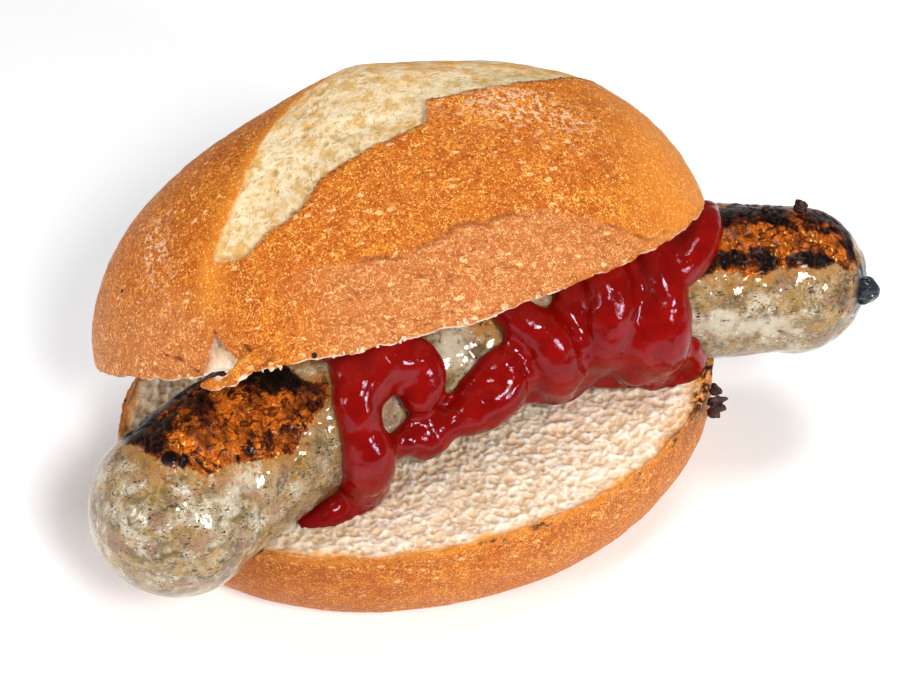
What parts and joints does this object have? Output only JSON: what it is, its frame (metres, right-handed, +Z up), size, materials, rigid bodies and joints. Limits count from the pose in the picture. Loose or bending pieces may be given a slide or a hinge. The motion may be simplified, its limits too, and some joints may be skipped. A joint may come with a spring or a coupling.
{
  "type": "bratwurst in a bun",
  "caption": "Grilled bratwurst with ketchup in a split oval bread roll, its ends sticking out and the upper half propped open. Food prop that rests on its flat base.",
  "frame": {"origin": "the middle of the lower half's flat base", "axes": "+Z up, X along the roll with the sausage's far end at +X, -Y towards the open side of the roll"},
  "size_m": [0.1598, 0.0867, 0.0899],
  "materials": {
    "bread": "baked golden brown crust over a pale crumb, matt to satin",
    "casing": "pale herb-flecked sausage skin with dark grill marks, oily gloss",
    "ketchup": "deep red wet gloss"
  },
  "bodies": {
    "root": {"bun_bottom": "bread", "bun_top": "bread", "sausage": "casing", "ketchup": "ketchup"}
  },
  "joints": []
}
